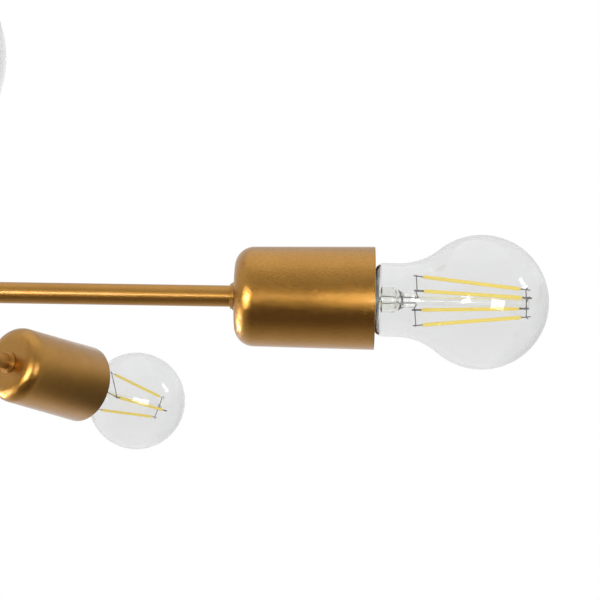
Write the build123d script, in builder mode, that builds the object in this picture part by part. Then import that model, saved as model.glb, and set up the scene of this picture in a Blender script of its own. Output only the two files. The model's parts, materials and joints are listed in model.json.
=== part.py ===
from build123d import *
from math import atan2, cos, degrees, radians, sin
import os

# A hanging lamp with seven level arms that climb its column like a spiral stair, one arm to a hub.
# Each arm carries a drawn cup, a screw lampholder and a clear bulb with four straight filaments.
# Millimetres and degrees. Z = 0 is the ceiling, on the column's axis, and +Z is up.

# ---- Driving dimensions ----

# Layout of the arms
arm_count = 7
arm_reach = 385  # column axis to the back of a cup
arm_rise = 46  # from one arm up to the next
middle_arm_drop = 460  # ceiling to the middle arm's axis
arm_swing = 45  # how far a hub turns either way before its bulb meets the next one

# Column, hubs and washers
column_diameter = 20
column_wall = 1.5
column_seat = 12  # depth of the column's end in its head and in its foot
wire_slot_height = 6
hub_diameter = 32
hub_edge = 1.5
washer_thickness = 1
washer_inset = 2.5  # from the hub's outside to the washer's
head_height = 24
head_straight = 6  # height of the head's full-width foot, and of its neck
head_neck_diameter = 24
foot_height = 20
foot_straight = 8  # height of the foot's full-width rim

# Downrod and what it hangs from
downrod_diameter = 16
downrod_wall = 1.2
downrod_seat = 8  # depth of the rod's end in the column's head
downrod_top_drop = 6  # ceiling to the rod's upper end
bracket_length = 112
bracket_width = 24
bracket_thickness = 2
bracket_drop = 14  # ceiling to the upper face of the bracket's middle
bracket_slope = 4  # run of each sloping side
slot_length = 12
slot_width = 5
slot_margin = 3  # metal left beyond each end of a slot
nut_across_flats = 24
nut_thickness = 4
terminal_length = 16
terminal_width = 22
terminal_height = 9
terminal_pole_pitch = 7
terminal_wire_hole = 3
terminal_wire_height = 3  # bracket's middle to a wire hole's axis
terminal_screw_hole = 3.6
terminal_screw_depth = 3
terminal_screw_spacing = 8  # between the two screws of a pole

# Canopy and its collar
canopy_diameter = 130
canopy_height = 28
canopy_wall = 1
canopy_corner = 12
collar_diameter = 26
collar_height = 12
collar_edge = 1
collar_screw_diameter = 4
collar_screw_head_diameter = 7
collar_screw_head = 2.6
collar_screw_slot = 1

# Arms
arm_diameter = 9.5
arm_wall = 1
arm_seat = 4  # depth of the arm's end in its hub
arm_collar_diameter = 12.7
arm_collar_thickness = 1
arm_bead_diameter = 11.4
arm_bead_thickness = 1  # of the narrower ring behind the collar
spigot_diameter = 10
spigot_length = 8

# Cups
cup_back_diameter = 44
cup_mouth_diameter = 46
cup_length = 62.3
cup_wall = 1.2
cup_shoulder = 9.5

# Lampholders
holder_diameter = 39
holder_length = 57.5
holder_boss_diameter = 17
holder_boss = 5
holder_dome = 8
holder_floor = 3  # thickness of the floor under the bulb's contact
holder_chamber_diameter = 26
holder_chamber_end = 2.5  # solid ends of the wiring chamber
shell_thickness = 0.5
shell_length = 18
contact_diameter = 6
contact_gap = 3  # round the contact, to the hole in the shell's end

# Bulbs
cap_length = 28
cap_diameter = 26.2
cap_wall = 0.6
cap_contact_diameter = 9.5
cap_contact_height = 1.5
cap_cone_height = 5
cap_cone_diameter = 20
glass_wall = 0.8
glass_base_diameter = 25.2
neck_diameter = 32.3
neck_length = 10
globe_diameter = 60
globe_centre = 47.5  # beyond the cup's mouth
stem_tube_diameter = 11.6
stem_tube_end = 11.5
stem_pinch_diameter = 7
stem_pinch_end = 18
stem_taper = 3.5  # length over which the tube narrows to its pinch
stem_flare = 5.8  # length over which the base widens to the seal
stem_rod_diameter = 4
stem_rod_end = 69
filament_count = 4
filament_diameter = 1.8
filament_twist = -5  # first filament's turn from straight up
filament_near_radius = 11.5
filament_near = 22
filament_far_radius = 6.8
filament_far = 65.5
wire_width = 0.7

# Clearances
running_clearance = 0.05
seat_clearance = 0.05
thread_clearance = 0.3
rod_clearance = 0.3

# ---- Sizes that follow from them ----

column_radius = column_diameter / 2
hub_radius = hub_diameter / 2
hub_height = arm_rise - washer_thickness
downrod_radius = downrod_diameter / 2
arm_radius = arm_diameter / 2
arm_bore = arm_radius - arm_wall
spigot_radius = spigot_diameter / 2
cup_mouth_reach = arm_reach + cup_length
holder_reach = arm_reach + cup_wall
bulb_contact_depth = cup_length - cup_wall - cap_length  # holder's back to the bulb's contact
bracket_foot = slot_length + 2 * slot_margin
bracket_web = bracket_length - 2 * (bracket_foot + bracket_slope)
slot_spacing = bracket_length - bracket_foot

stack_top = -middle_arm_drop + (arm_count - 1) / 2 * arm_rise + hub_height / 2 + washer_thickness
stack_bottom = stack_top - arm_count * arm_rise - washer_thickness
column_top = stack_top + column_seat
column_bottom = stack_bottom - column_seat
head_top = stack_top + head_height
foot_bottom = stack_bottom - foot_height


def arm_height(number):
    """Height of an arm's axis; arm 1 is the lowest."""
    return -middle_arm_drop + (number - (arm_count + 1) / 2) * arm_rise


def arm_azimuth(number):
    """Turn of an arm about the column, with the middle arm along +X."""
    return (number - (arm_count + 1) / 2) * 360 / arm_count


def along(number, distance=0):
    """Plane that holds an arm's axis: x runs outwards from `distance` along the arm, y runs up."""
    turn = radians(arm_azimuth(number))
    outward = Vector(cos(turn), sin(turn), 0)
    origin = outward * distance + Vector(0, 0, arm_height(number))
    return Plane(origin=origin, x_dir=outward, z_dir=Vector(sin(turn), -cos(turn), 0))


def across(number, distance):
    """Plane square to an arm at `distance` from the column's axis, facing outwards."""
    side = along(number, distance)
    return Plane(origin=side.origin, x_dir=side.z_dir, z_dir=side.x_dir)


def lengthwise(plane):
    """Axis of an arm, for turning a profile drawn on its lengthwise plane."""
    return Axis(plane.origin, plane.x_dir)


def save(piece, node):
    """Labels a finished piece and writes it to a file of the same name."""
    piece.part.label = node
    export_step(piece.part, f"parts/{node}.step")


# ---- Hubs and arms ----


def make_hub(number):
    """Drum that turns on the column, with a socket for one arm and a hole for its wires."""
    with BuildPart() as hub:
        with BuildSketch(Plane.XY.offset(arm_height(number) - hub_height / 2)):
            Circle(hub_radius)
        extrude(amount=hub_height)
        chamfer(hub.edges().filter_by(GeomType.CIRCLE), hub_edge)
        with BuildSketch(Plane.XY.offset(arm_height(number) - hub_height / 2)):
            Circle(column_radius + running_clearance)
        extrude(amount=hub_height, mode=Mode.SUBTRACT)
        with BuildSketch(across(number, hub_radius - arm_seat)):
            Circle(arm_radius + seat_clearance)
        extrude(amount=hub_radius, mode=Mode.SUBTRACT)
        with BuildSketch(across(number, 0)):
            Circle(arm_bore)
        extrude(amount=hub_radius, mode=Mode.SUBTRACT)
    return hub


def make_arm(number):
    """Tube with a stepped collar that stops the cup, and a spigot that the lampholder screws onto."""
    side = along(number)
    root = hub_radius - arm_seat
    collar_back = arm_reach - arm_collar_thickness
    collar_radius = arm_collar_diameter / 2
    bead_back = collar_back - arm_bead_thickness
    bead_radius = arm_bead_diameter / 2
    tip = arm_reach + cup_wall + spigot_length
    with BuildPart() as arm:
        with BuildSketch(side):
            with BuildLine():
                Polyline(
                    (root, arm_bore),
                    (root, arm_radius),
                    (bead_back, arm_radius),
                    (bead_back, bead_radius),
                    (collar_back, bead_radius),
                    (collar_back, collar_radius),
                    (arm_reach, collar_radius),
                    (arm_reach, spigot_radius),
                    (tip, spigot_radius),
                    (tip, arm_bore),
                    close=True,
                )
            make_face()
        revolve(axis=lengthwise(side))
    return arm


def make_cup(number):
    """Drawn cup: flat back with a hole for the spigot, rounded shoulder, slightly flared wall, thin rim."""
    side = along(number, arm_reach)
    back = cup_back_diameter / 2
    mouth = cup_mouth_diameter / 2
    hole = spigot_radius + seat_clearance
    corner = back - cup_shoulder
    with BuildPart() as cup:
        with BuildSketch(side):
            with BuildLine():
                CenterArc((cup_shoulder, corner), cup_shoulder, 180, -90)
                Polyline(
                    (cup_shoulder, back),
                    (cup_length, mouth),
                    (cup_length, mouth - cup_wall),
                    (cup_shoulder, back - cup_wall),
                )
                CenterArc((cup_shoulder, corner), cup_shoulder - cup_wall, 90, 90)
                Polyline((cup_wall, corner), (cup_wall, hole), (0, hole), (0, corner))
            make_face()
        revolve(axis=lengthwise(side))
    return cup


def make_lampholder(number):
    """Moulded body with a wiring chamber, and inside it a metal screw shell and a centre contact."""
    side = along(number, holder_reach)
    outside = holder_diameter / 2
    boss = holder_boss_diameter / 2
    entry = spigot_radius + seat_clearance
    chamber = holder_chamber_diameter / 2
    chamber_start = spigot_length + holder_chamber_end
    contact_tip = bulb_contact_depth - thread_clearance
    floor = contact_tip - holder_floor
    chamber_stop = floor - holder_chamber_end
    shell_bore = cap_diameter / 2 + thread_clearance
    shell_outside = shell_bore + shell_thickness
    well = shell_outside + seat_clearance
    shell_foot = floor + seat_clearance
    shell_hole = contact_diameter / 2 + contact_gap
    with BuildPart() as lampholder:
        with BuildSketch(side):
            with BuildLine():
                Polyline(
                    (0, entry),
                    (0, boss),
                    (holder_boss, boss),
                    (holder_boss + holder_dome, outside),
                    (holder_length, outside),
                    (holder_length, well),
                    (floor, well),
                    (floor, 0),
                    (chamber_stop, 0),
                    (chamber_stop, chamber),
                    (chamber_start, chamber),
                    (spigot_length, entry),
                    close=True,
                )
            make_face()
            with BuildLine():
                Polyline(
                    (shell_foot, shell_hole),
                    (shell_foot, shell_outside),
                    (shell_foot + shell_length, shell_outside),
                    (shell_foot + shell_length, shell_bore),
                    (shell_foot + shell_thickness, shell_bore),
                    (shell_foot + shell_thickness, shell_hole),
                    close=True,
                )
            make_face()
            with BuildLine():
                Polyline(
                    (shell_foot, 0),
                    (shell_foot, contact_diameter / 2),
                    (contact_tip, contact_diameter / 2),
                    (contact_tip, 0),
                    close=True,
                )
            make_face()
        revolve(axis=lengthwise(side))
    return lampholder


# ---- Bulbs ----


def glass_outline(inset):
    """Half outline of the glass from cap to tip, drawn `inset` inside its outer surface."""
    neck = neck_diameter / 2
    globe = globe_diameter / 2
    base = glass_base_diameter / 2
    curl = neck - base
    to_globe = globe_centre - neck_length
    blend = (to_globe**2 - globe**2 + neck**2) / (2 * (globe - neck))
    tangent = degrees(atan2(-(neck + blend), to_globe))
    with BuildLine() as outline:
        CenterArc((curl, base), curl - inset, 180, -90)
        Line((curl, neck - inset), (neck_length, neck - inset))
        CenterArc((neck_length, neck + blend), blend + inset, -90, tangent + 90)
        CenterArc((globe_centre, 0), globe - inset, 180 + tangent, -180 - tangent)
    return outline.line


def make_bulb_cap(number):
    """Screw cap: centre contact, insulating cone and thin metal shell, open towards the glass."""
    side = along(number, cup_mouth_reach - cap_length)
    contact = cap_contact_diameter / 2
    cone = cap_cone_diameter / 2
    shell = cap_diameter / 2
    rim = cap_length - seat_clearance
    inside = cap_cone_height + cap_wall
    with BuildPart() as bulb_cap:
        with BuildSketch(side):
            with BuildLine():
                Polyline(
                    (0, 0),
                    (0, contact),
                    (cap_contact_height, contact),
                    (cap_cone_height, cone),
                    (cap_cone_height, shell),
                    (rim, shell),
                    (rim, shell - cap_wall),
                    (inside, shell - cap_wall),
                    (inside, 0),
                    close=True,
                )
            make_face()
        revolve(axis=lengthwise(side))
    return bulb_cap


def make_bulb_glass(number):
    """Blown envelope of even thickness: curled base, neck, hollow blend and round globe."""
    side = along(number, cup_mouth_reach)
    outer = glass_outline(0)
    inner = glass_outline(glass_wall)
    with BuildPart() as bulb_glass:
        with BuildSketch(side):
            with BuildLine():
                add(outer)
                add(inner)
                Line(outer @ 0, inner @ 0)
                Line(outer @ 1, inner @ 1)
            make_face()
        revolve(axis=lengthwise(side))
    return bulb_glass


def make_bulb_filaments(number):
    """Glass stem with its pinch and rod, and round it two pairs of filaments, each pair on one lead."""
    side = along(number, cup_mouth_reach)
    seal = glass_base_diameter / 2 - seat_clearance
    tube = stem_tube_diameter / 2
    pinch = stem_pinch_diameter / 2
    rod = stem_rod_diameter / 2
    pinch_start = stem_tube_end + stem_taper
    wire_root = (pinch_start + stem_pinch_end) / 2
    with BuildPart() as bulb_filaments:
        with BuildSketch(side):
            with BuildLine():
                Polyline(
                    (0, 0),
                    (0, seal),
                    (glass_wall, seal),
                    (stem_flare, tube),
                    (stem_tube_end, tube),
                    (pinch_start, pinch),
                    (stem_pinch_end, pinch),
                    (stem_pinch_end + rod, rod),
                    (stem_rod_end, rod),
                    (stem_rod_end, 0),
                    close=True,
                )
            make_face()
        revolve(axis=lengthwise(side))
        near_ends = []
        for index in range(filament_count):
            turn = radians(filament_twist + index * 360 / filament_count)
            out = side.y_dir * cos(turn) + side.z_dir * sin(turn)
            root = side.origin + side.x_dir * wire_root + out * (pinch + wire_width / 2)
            near = side.origin + side.x_dir * filament_near + out * filament_near_radius
            far = side.origin + side.x_dir * filament_far + out * filament_far_radius
            tip = side.origin + side.x_dir * (stem_rod_end - wire_width) + out * (rod + wire_width / 2)
            near_ends.append(near)
            wires = [(far, tip)]
            if index % 2:
                wires += [(root, near), (near_ends[index - 1], near)]
            for start, end in wires:
                with BuildSketch(Plane(origin=start, z_dir=end - start)):
                    Rectangle(wire_width, wire_width)
                extrude(amount=(end - start).length)
            with BuildSketch(Plane(origin=near, z_dir=far - near)):
                RegularPolygon(filament_diameter / 2, 6)
            extrude(amount=(far - near).length)
    return bulb_filaments


# ---- Column and its ends ----


def make_column():
    """Tube that the hubs turn on, with a slot at each hub for the wires to swing in."""
    bore = column_radius - column_wall
    slot_turn = arm_swing + degrees(arm_bore / bore)
    with BuildPart() as column:
        with BuildSketch(Plane.XY.offset(column_bottom)):
            Circle(column_radius)
            Circle(bore, mode=Mode.SUBTRACT)
        extrude(amount=column_top - column_bottom)
        for number in range(1, arm_count + 1):
            first = arm_azimuth(number) - slot_turn
            with BuildSketch(Plane.XY.offset(arm_height(number) - wire_slot_height / 2)):
                with BuildLine():
                    sweep_arc = CenterArc((0, 0), hub_radius, first, 2 * slot_turn)
                    Line((0, 0), sweep_arc @ 0)
                    Line((0, 0), sweep_arc @ 1)
                make_face()
            extrude(amount=wire_slot_height, mode=Mode.SUBTRACT)
    return column


def make_stack_washers():
    """Thin plastic rings under, between and over the hubs."""
    with BuildPart() as stack_washers:
        for level in range(arm_count + 1):
            with BuildSketch(Plane.XY.offset(stack_bottom + level * arm_rise)):
                Circle(hub_radius - washer_inset)
                Circle(column_radius + running_clearance, mode=Mode.SUBTRACT)
            extrude(amount=washer_thickness)
    return stack_washers


def make_column_head():
    """Turned fitting that closes the stack from above and joins the column to the downrod."""
    column_bore = column_radius + seat_clearance
    rod_bore = downrod_radius + seat_clearance
    shoulder = downrod_radius - downrod_wall
    neck = head_neck_diameter / 2
    with BuildPart() as column_head:
        with BuildSketch(Plane.XZ):
            with BuildLine():
                Polyline(
                    (column_bore, stack_top),
                    (hub_radius, stack_top),
                    (hub_radius, stack_top + head_straight),
                    (neck, head_top - head_straight),
                    (neck, head_top),
                    (rod_bore, head_top),
                    (rod_bore, head_top - downrod_seat),
                    (shoulder, head_top - downrod_seat),
                    (shoulder, column_top),
                    (column_bore, column_top),
                    close=True,
                )
            make_face()
        revolve(axis=Axis.Z)
    return column_head


def make_column_foot():
    """Turned cap nut that holds the stack up and closes the column's lower end with a dome."""
    column_bore = column_radius + seat_clearance
    rim = stack_bottom - foot_straight
    dome_depth = rim - foot_bottom
    with BuildPart() as column_foot:
        with BuildSketch(Plane.XZ):
            with BuildLine():
                EllipticalCenterArc((0, rim), hub_radius, dome_depth, 270, arc_size=90)
                Polyline(
                    (hub_radius, rim),
                    (hub_radius, stack_bottom),
                    (column_bore, stack_bottom),
                    (column_bore, column_bottom),
                    (0, column_bottom),
                    (0, foot_bottom),
                )
            make_face()
        revolve(axis=Axis.Z)
    return column_foot


# ---- Downrod, bracket and canopy ----


def make_downrod():
    """Tube from the column's head up to the bracket."""
    bottom = head_top - downrod_seat
    with BuildPart() as downrod:
        with BuildSketch(Plane.XY.offset(bottom)):
            Circle(downrod_radius)
            Circle(downrod_radius - downrod_wall, mode=Mode.SUBTRACT)
        extrude(amount=-downrod_top_drop - bottom)
    return downrod


def make_ceiling_bracket():
    """Hat-shaped strap: two slotted feet on the ceiling and a dropped middle that holds the rod."""
    foot_end = bracket_length / 2
    web_end = bracket_web / 2
    foot_start = web_end + bracket_slope
    with BuildPart() as ceiling_bracket:
        with BuildSketch(Plane.XZ):
            with BuildLine():
                Polyline(
                    (0, -bracket_drop),
                    (web_end, -bracket_drop),
                    (foot_start, 0),
                    (foot_end, 0),
                    (foot_end, -bracket_thickness),
                    (foot_start + bracket_thickness / 2, -bracket_thickness),
                    (web_end + bracket_thickness / 2, -bracket_drop - bracket_thickness),
                    (0, -bracket_drop - bracket_thickness),
                    close=True,
                )
            make_face()
            mirror(about=Plane.YZ)
        extrude(amount=bracket_width / 2, both=True)
        with BuildSketch(Plane.XY):
            with GridLocations(slot_spacing, 0, 2, 1):
                SlotOverall(slot_length, slot_width)
        extrude(amount=-bracket_thickness, mode=Mode.SUBTRACT)
        with BuildSketch(Plane.XY.offset(-bracket_drop)):
            Circle(downrod_radius + seat_clearance)
        extrude(amount=-bracket_thickness, mode=Mode.SUBTRACT)
    return ceiling_bracket


def make_bracket_nuts():
    """Two thin hexagon nuts that clamp the rod in the bracket, one above and one below."""
    with BuildPart() as bracket_nuts:
        for bottom in (-bracket_drop, -bracket_drop - bracket_thickness - nut_thickness):
            with BuildSketch(Plane.XY.offset(bottom)):
                RegularPolygon(nut_across_flats / 2, 6, major_radius=False)
                Circle(downrod_radius + seat_clearance, mode=Mode.SUBTRACT)
            extrude(amount=nut_thickness)
    return bracket_nuts


def make_terminal_block():
    """Three-pole block on the bracket's middle, with holes for the wires and their screws."""
    centre = -(bracket_web - terminal_length) / 2
    with BuildPart() as terminal_block:
        with BuildSketch(Plane.XY.offset(-bracket_drop)):
            with Locations((centre, 0)):
                Rectangle(terminal_length, terminal_width)
        extrude(amount=terminal_height)
        with BuildSketch(Plane.YZ.offset(centre - terminal_length / 2)):
            with Locations((0, -bracket_drop + terminal_wire_height)):
                with GridLocations(terminal_pole_pitch, 0, 3, 1):
                    Circle(terminal_wire_hole / 2)
        extrude(amount=terminal_length, mode=Mode.SUBTRACT)
        with BuildSketch(Plane.XY.offset(-bracket_drop + terminal_height)):
            with Locations((centre, 0)):
                with GridLocations(terminal_screw_spacing, terminal_pole_pitch, 2, 3):
                    Circle(terminal_screw_hole / 2)
        extrude(amount=-terminal_screw_depth, mode=Mode.SUBTRACT)
    return terminal_block


def make_canopy():
    """Shallow spun dish that covers the bracket, with a hole for the rod."""
    outside = canopy_diameter / 2
    hole = downrod_radius + rod_clearance
    corner = -canopy_height + canopy_corner
    floor = -canopy_height + canopy_wall
    with BuildPart() as canopy:
        with BuildSketch(Plane.XZ):
            with BuildLine():
                CenterArc((outside - canopy_corner, corner), canopy_corner, 270, 90)
                Line((outside, corner), (outside, 0))
                Line((outside, 0), (outside - canopy_wall, 0))
                Line((outside - canopy_wall, 0), (outside - canopy_wall, corner))
                CenterArc((outside - canopy_corner, corner), canopy_corner - canopy_wall, 0, -90)
                Polyline(
                    (outside - canopy_corner, floor),
                    (hole, floor),
                    (hole, -canopy_height),
                    (outside - canopy_corner, -canopy_height),
                )
            make_face()
        revolve(axis=Axis.Z)
    return canopy


def make_canopy_collar():
    """Ring that slides on the rod under the canopy, with a cross hole for its screw."""
    bottom = -canopy_height - collar_height
    with BuildPart() as canopy_collar:
        with BuildSketch(Plane.XY.offset(bottom)):
            Circle(collar_diameter / 2)
        extrude(amount=collar_height)
        chamfer(canopy_collar.edges().filter_by(GeomType.CIRCLE).group_by(Axis.Z)[0], collar_edge)
        with BuildSketch(Plane.XY.offset(bottom)):
            Circle(downrod_radius + running_clearance)
        extrude(amount=collar_height, mode=Mode.SUBTRACT)
        with BuildSketch(Plane.XZ):
            with Locations((0, bottom + collar_height / 2)):
                Circle(collar_screw_diameter / 2 + seat_clearance)
        extrude(amount=collar_diameter, mode=Mode.SUBTRACT)
    return canopy_collar


def make_collar_screw():
    """Slotted cheese-head screw that clamps the collar on the rod."""
    middle = -canopy_height - collar_height / 2
    tip = downrod_radius + running_clearance
    head = collar_diameter / 2 + seat_clearance
    with BuildPart() as collar_screw:
        with BuildSketch(Plane.XZ.offset(tip)):
            with Locations((0, middle)):
                Circle(collar_screw_diameter / 2)
        extrude(amount=head - tip)
        with BuildSketch(Plane.XZ.offset(head)):
            with Locations((0, middle)):
                Circle(collar_screw_head_diameter / 2)
        extrude(amount=collar_screw_head)
        with BuildSketch(Plane.XZ.offset(head + collar_screw_head)):
            with Locations((0, middle)):
                Rectangle(collar_screw_head_diameter, collar_screw_slot)
        extrude(amount=-collar_screw_head / 2, mode=Mode.SUBTRACT)
    return collar_screw


# ---- Writing the pieces ----

os.makedirs("parts", exist_ok=True)

arm_pieces = {
    "hub": make_hub,
    "arm": make_arm,
    "cup": make_cup,
    "lampholder": make_lampholder,
    "bulb_cap": make_bulb_cap,
    "bulb_glass": make_bulb_glass,
    "bulb_filaments": make_bulb_filaments,
}
for number in range(1, arm_count + 1):
    for name, make in arm_pieces.items():
        save(make(number), f"{name}_{number}")

save(make_column(), "column")
save(make_stack_washers(), "stack_washers")
save(make_column_head(), "column_head")
save(make_column_foot(), "column_foot")
save(make_downrod(), "downrod")
save(make_ceiling_bracket(), "ceiling_bracket")
save(make_bracket_nuts(), "bracket_nuts")
save(make_terminal_block(), "terminal_block")
save(make_canopy(), "canopy")
save(make_canopy_collar(), "canopy_collar")
save(make_collar_screw(), "collar_screw")
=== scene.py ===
# %% [markdown]
# # A lamp whose seven arms climb its column
#
# The lamp hangs from the ceiling. Seven thin arms stand out from one column, each a step higher than the
# last and a seventh of a turn on, like the treads of a spiral stair. Each arm ends in a gold cup with a clear
# bulb. The mechanical model comes first, as a fixed frame: it says where each piece is and what it moves with.
# This notebook makes the pieces that the eye sees, on top of that frame, and gives each its finish.

import json
from math import atan2, cos, degrees, pi, radians, sin, tan

import bmesh
import bpy
from mathutils import Matrix, Quaternion, Vector


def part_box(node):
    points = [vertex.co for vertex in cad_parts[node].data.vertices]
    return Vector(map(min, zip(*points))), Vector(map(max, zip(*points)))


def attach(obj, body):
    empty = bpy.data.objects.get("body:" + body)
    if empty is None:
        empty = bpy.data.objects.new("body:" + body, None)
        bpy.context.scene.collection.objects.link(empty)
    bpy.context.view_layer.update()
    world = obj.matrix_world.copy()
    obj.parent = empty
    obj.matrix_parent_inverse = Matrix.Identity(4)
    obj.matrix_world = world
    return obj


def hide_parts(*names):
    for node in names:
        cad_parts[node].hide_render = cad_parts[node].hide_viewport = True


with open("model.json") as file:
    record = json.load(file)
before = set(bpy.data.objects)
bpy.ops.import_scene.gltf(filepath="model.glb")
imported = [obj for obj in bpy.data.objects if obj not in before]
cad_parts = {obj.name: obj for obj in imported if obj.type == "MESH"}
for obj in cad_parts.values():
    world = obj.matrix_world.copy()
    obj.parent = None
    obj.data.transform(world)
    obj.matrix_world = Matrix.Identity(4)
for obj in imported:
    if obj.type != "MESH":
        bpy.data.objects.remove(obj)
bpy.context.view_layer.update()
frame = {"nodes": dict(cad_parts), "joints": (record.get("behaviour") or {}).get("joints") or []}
scene = bpy.context.scene

# %% [markdown]
# ## Where the arms are
#
# Each arm turns about the column, and its bulb draws out along the arm. Those two joints tell how high the arm
# is and which way it points, so a piece can be made once along +X and then be carried to every arm by a matrix.

# %% One matrix for each arm
MM = 0.001
UP = Vector((0, 0, 1))
joints = {joint["name"]: joint for joint in frame["joints"]}
arm_numbers = sorted(int(name.split("_")[-1]) for name in joints if name.startswith("arm_swing_"))
middle_arm = arm_numbers[len(arm_numbers) // 2]
arm_places = {}
for number in arm_numbers:
    outward = Vector(joints[f"bulb_out_{number}"]["axis"])
    turn = Matrix((outward, UP.cross(outward), UP)).transposed().to_4x4()
    arm_places[number] = Matrix.Translation(joints[f"arm_swing_{number}"]["pos_m"]) @ turn
middle_height = arm_places[middle_arm].translation.z
print(len(arm_numbers), "arms, the middle one at", round(middle_height, 3))


def reach(name):
    """Where one of the middle arm's nodes starts and ends along the arm, and its largest radius."""
    low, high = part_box(f"{name}_{middle_arm}")
    return low.x, high.x, (high.z - low.z) / 2


# %% [markdown]
# ## Camera
#
# A long lens looks up from below at the end of the middle arm, a little right of the cup. It is nearly level
# sideways, so the arm runs almost straight across the view, and the next arms come in from the left.

# %% Camera
lens = 132.2
camera_spot = Vector((0.4278, -0.9416, -0.2765))  # from the column's axis at the middle arm's height
camera_heading = radians(-0.831)
camera_pitch = radians(16.29)
camera_roll = radians(1.114)

camera = bpy.data.objects.new("camera", bpy.data.cameras.new("camera"))
camera.data.lens = lens
camera.location = camera_spot + UP * middle_height
sight = Vector((sin(camera_heading) * cos(camera_pitch), cos(camera_heading) * cos(camera_pitch), sin(camera_pitch)))
camera.rotation_mode = "QUATERNION"
camera.rotation_quaternion = sight.to_track_quat("-Z", "Y") @ Quaternion((0, 0, 1), camera_roll)
scene.collection.objects.link(camera)
scene.camera = camera
scene.view_settings.view_transform = "Standard"

# %% [markdown]
# ## Small helpers for node trees
#
# Every finish here is a small graph of nodes, worked out from the place on the object and never from an image.
# `node` adds one with its settings and inputs, so that a graph reads from top to bottom like a recipe.


# %% Node helpers
def node(tree, kind, inputs=(), **settings):
    """Adds a node. `inputs` maps an input's name or number to a value or to another node's output."""
    made = tree.nodes.new(kind)
    for name, value in settings.items():
        setattr(made, name, value)
    for name, value in dict(inputs).items():
        if isinstance(value, bpy.types.NodeSocket):
            tree.links.new(value, made.inputs[name])
        else:
            made.inputs[name].default_value = value
    return made


def math(tree, operation, *values):
    """Adds a Math node and returns its output."""
    return node(tree, "ShaderNodeMath", dict(enumerate(values)), operation=operation).outputs[0]


def map_range(tree, value, low, high, new_low=0.0, new_high=1.0):
    """Adds a Map Range node, which stretches low..high to new_low..new_high, and returns its output."""
    ends = {"From Min": low, "From Max": high, "To Min": new_low, "To Max": new_high}
    return node(tree, "ShaderNodeMapRange", {"Value": value, **ends}).outputs[0]


def towards(tree, way, side):
    """How nearly a direction points to one side: 1 straight at it, -1 straight away from it."""
    return node(tree, "ShaderNodeVectorMath", {0: way, 1: side}, operation="DOT_PRODUCT").outputs["Value"]


def blank_material(name):
    """A new material with an empty tree and its output node."""
    material = bpy.data.materials.new(name)
    material.use_nodes = True
    material.node_tree.nodes.clear()
    return material, material.node_tree, node(material.node_tree, "ShaderNodeOutputMaterial")


# %% [markdown]
# ## Light
#
# The lamp hangs in a studio: white behind it and above it, dim in front of it below. Satin metal shows this as
# soft bands, light on top and dark underneath, and that is most of what makes the cups look round. The world
# does this with one gradient, along a line from the dim, slightly warm side up to the bright one, and a dark
# corner at the back right draws the deep band under the cups that point away. What the camera sees past the
# object, straight or through glass, is plain white, and metal and glass mirror that white wall as well.

# %% World
bright_side = Vector((0, 0.68, 0.73)).normalized()
world_levels = (
    (0.0, 0.10),
    (0.08, 0.12),
    (0.19, 0.34),
    (0.33, 0.48),
    (0.48, 0.66),
    (0.56, 0.74),
    (0.75, 0.80),
    (1.0, 0.66),
)
warm_below, warm_red, warm_blue = 0.5, 0.5, 0.2  # the dimmer the level, the redder and the less blue
dark_side = Vector((0.78, 0.58, -0.25)).normalized()
dark_edge, dark_core, dark_share = 0.72, 0.93, 0.2  # cosines of the corner's edge and core, and its brightness
wall_edge, wall_core = 0.95, 0.985  # cosines again: the mirrored wall fades in between them

world = bpy.data.worlds.new("studio")
scene.world = world
world.use_nodes = True
tree = world.node_tree
tree.nodes.clear()
way = node(tree, "ShaderNodeTexCoord").outputs["Generated"]
ramp = node(tree, "ShaderNodeValToRGB", {"Fac": map_range(tree, towards(tree, way, bright_side), -1.0, 1.0)})
for place, level in world_levels[1:-1]:
    ramp.color_ramp.elements.new(place)
for stop, (place, level) in zip(ramp.color_ramp.elements, world_levels):
    warmth = max(0.0, warm_below - level)
    stop.position = place
    stop.color = (level * (1 + warm_red * warmth), level, level * (1 - warm_blue * warmth), 1)
shade = map_range(tree, towards(tree, way, dark_side), dark_edge, dark_core, 1.0, dark_share)
room = node(tree, "ShaderNodeBackground", {"Color": ramp.outputs["Color"], "Strength": shade})
white = node(tree, "ShaderNodeBackground", {"Color": (1, 1, 1, 1), "Strength": 1.0})
path = node(tree, "ShaderNodeLightPath")
seen = math(tree, "MAXIMUM", path.outputs["Is Camera Ray"], path.outputs["Is Transmission Ray"])
wall = map_range(tree, towards(tree, way, sight), wall_edge, wall_core)
mirrored = math(tree, "MULTIPLY", path.outputs["Is Glossy Ray"], wall)
seen = math(tree, "MAXIMUM", seen, mirrored)
both = node(tree, "ShaderNodeMixShader", {0: seen, 1: room.outputs[0], 2: white.outputs[0]})
node(tree, "ShaderNodeOutputWorld", {"Surface": both.outputs[0]})
print("the world has", len(world_levels), "levels, from", world_levels[0][1], "to", world_levels[-1][1])

# %% [markdown]
# Soft lamps do the rest. Two softboxes stand left and right of the camera: they draw the two white squares in
# each bulb and the double highlight on the shoulders. A low wide panel between them fills the band along the
# cups, a strip on the left gives the slanted mark in the glass, and a panel overhead keeps every side readable.
# Two more, a shoulder lamp and a rim lamp, draw the cups' shoulders and back edges. A cell further down keeps
# their light on the cups alone.


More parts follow.
